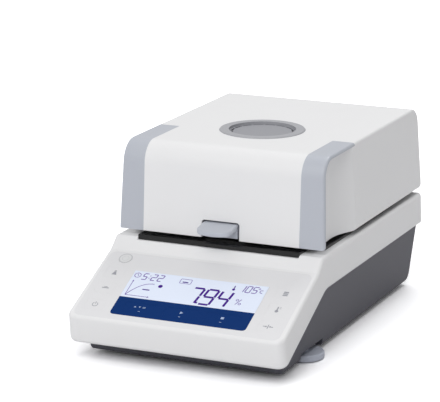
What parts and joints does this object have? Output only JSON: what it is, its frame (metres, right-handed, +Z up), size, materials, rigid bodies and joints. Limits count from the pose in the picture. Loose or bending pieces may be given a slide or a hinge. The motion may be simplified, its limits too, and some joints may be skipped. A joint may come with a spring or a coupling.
{
  "type": "moisture analyzer",
  "caption": "Bench-top halogen moisture analyzer with a sloping keypad and display in front and a heating lid hinged at the back over a sample pan.",
  "frame": {"origin": "on the bench under the middle of the case, at the height of the foot pads' undersides", "axes": "+X to the right as one faces the keypad, +Y to the back, +Z up"},
  "size_m": [0.1926, 0.3332, 0.1652],
  "materials": {
    "white_plastic": "fine texture, satin",
    "dark_plastic": "fine texture",
    "foil": "printed foil, satin",
    "window": "clear",
    "display": "display face",
    "board": "solder mask",
    "switch": "moulded",
    "black_plastic": "satin",
    "sheet": "brushed",
    "aluminium": "bright",
    "metal": "machined",
    "grey_plastic": "satin",
    "lamp": "quartz",
    "foot_plastic": "satin",
    "rubber": "moulded"
  },
  "bodies": {
    "base": {"upper_housing": "white_plastic", "lower_housing": "dark_plastic", "keypad_foil": "foil", "display_window": "window", "lcd_module": "display", "control_board": "board", "key_switches": "switch", "level_bubble": "window", "chamber_tray": "black_plastic", "heat_shield": "sheet", "draft_shield": "sheet", "load_cell": "aluminium", "load_cell_bracket": "aluminium", "main_board": "board", "power_supply": "board", "mains_inlet": "black_plastic", "fuse_drawer": "black_plastic", "serial_connector": "sheet", "foot_insert_left": "metal", "foot_insert_right": "metal", "rear_foot": "rubber", "case_screws": "metal", "hinge_bracket_left": "metal", "hinge_bracket_right": "metal", "hinge_pin_left": "metal", "hinge_pin_right": "metal"},
    "lid": {"lid_shell": "white_plastic", "corner_trim_left": "grey_plastic", "corner_trim_right": "grey_plastic", "lid_handle": "grey_plastic", "window_ring": "grey_plastic", "vent_grille": "grey_plastic", "lid_base_plate": "sheet", "protection_glass": "window", "glass_clips": "sheet", "reflector": "aluminium", "halogen_lamp": "lamp", "lamp_sockets": "switch", "temperature_sensor": "metal", "lid_screws": "metal", "hinge_arm_left": "metal", "hinge_arm_right": "metal"},
    "weighing": {"pan_support": "aluminium", "sample_pan": "aluminium"},
    "pad_left": {"foot_pad_left": "rubber"},
    "pad_right": {"foot_pad_right": "rubber"},
    "wheel_left": {"foot_wheel_left": "foot_plastic"},
    "wheel_right": {"foot_wheel_right": "foot_plastic"},
    "key_soft_left": {"key_soft_left": "foil"},
    "key_soft_middle": {"key_soft_middle": "foil"},
    "key_soft_right": {"key_soft_right": "foil"},
    "key_power": {"key_power": "foil"},
    "key_print": {"key_print": "foil"},
    "key_a": {"key_a": "foil"},
    "key_tare": {"key_tare": "foil"},
    "key_temperature": {"key_temperature": "foil"},
    "key_b": {"key_b": "foil"}
  },
  "joints": [
    {"name": "lid_hinge", "type": "hinge", "parent": "base", "child": "lid", "pos_m": [0, 0.157, 0.099], "axis": [-1, 0, 0], "range_deg": [0, 60]},
    {"name": "pan_travel", "type": "slide", "parent": "base", "child": "weighing", "axis": [0, 0, 1], "range_m": [-0.00025, 0], "stiffness_N_per_m": 8000},
    {"name": "key_soft_left_press", "type": "slide", "parent": "base", "child": "key_soft_left", "axis": [0, 0.4194, -0.9078], "range_m": [0, 0.0004], "stiffness_N_per_m": 900},
    {"name": "key_soft_middle_press", "type": "slide", "parent": "base", "child": "key_soft_middle", "axis": [0, 0.4194, -0.9078], "range_m": [0, 0.0004], "stiffness_N_per_m": 900},
    {"name": "key_soft_right_press", "type": "slide", "parent": "base", "child": "key_soft_right", "axis": [0, 0.4194, -0.9078], "range_m": [0, 0.0004], "stiffness_N_per_m": 900},
    {"name": "key_power_press", "type": "slide", "parent": "base", "child": "key_power", "axis": [0, 0.4194, -0.9078], "range_m": [0, 0.0004], "stiffness_N_per_m": 900},
    {"name": "key_print_press", "type": "slide", "parent": "base", "child": "key_print", "axis": [0, 0.4194, -0.9078], "range_m": [0, 0.0004], "stiffness_N_per_m": 900},
    {"name": "key_a_press", "type": "slide", "parent": "base", "child": "key_a", "axis": [0, 0.4194, -0.9078], "range_m": [0, 0.0004], "stiffness_N_per_m": 900},
    {"name": "key_tare_press", "type": "slide", "parent": "base", "child": "key_tare", "axis": [0, 0.4194, -0.9078], "range_m": [0, 0.0004], "stiffness_N_per_m": 900},
    {"name": "key_temperature_press", "type": "slide", "parent": "base", "child": "key_temperature", "axis": [0, 0.4194, -0.9078], "range_m": [0, 0.0004], "stiffness_N_per_m": 900},
    {"name": "key_b_press", "type": "slide", "parent": "base", "child": "key_b", "axis": [0, 0.4194, -0.9078], "range_m": [0, 0.0004], "stiffness_N_per_m": 900},
    {"name": "foot_left_height", "type": "slide", "parent": "base", "child": "pad_left", "axis": [0, 0, 1], "range_m": [-0.0025, 0.0025]},
    {"name": "foot_left_turn", "type": "hinge", "parent": "pad_left", "child": "wheel_left", "pos_m": [-0.0785, -0.0805, 0], "axis": [0, 0, 1], "range_deg": [-720, 720]},
    {"name": "foot_right_height", "type": "slide", "parent": "base", "child": "pad_right", "axis": [0, 0, 1], "range_m": [-0.0025, 0.0025]},
    {"name": "foot_right_turn", "type": "hinge", "parent": "pad_right", "child": "wheel_right", "pos_m": [0.0785, -0.0805, 0], "axis": [0, 0, 1], "range_deg": [-720, 720]}
  ],
  "couplings": [
    {"joint": "foot_left_turn", "follows": "foot_left_height", "rad_per_m": 5026.5},
    {"joint": "foot_right_turn", "follows": "foot_right_height", "rad_per_m": 5026.5}
  ]
}
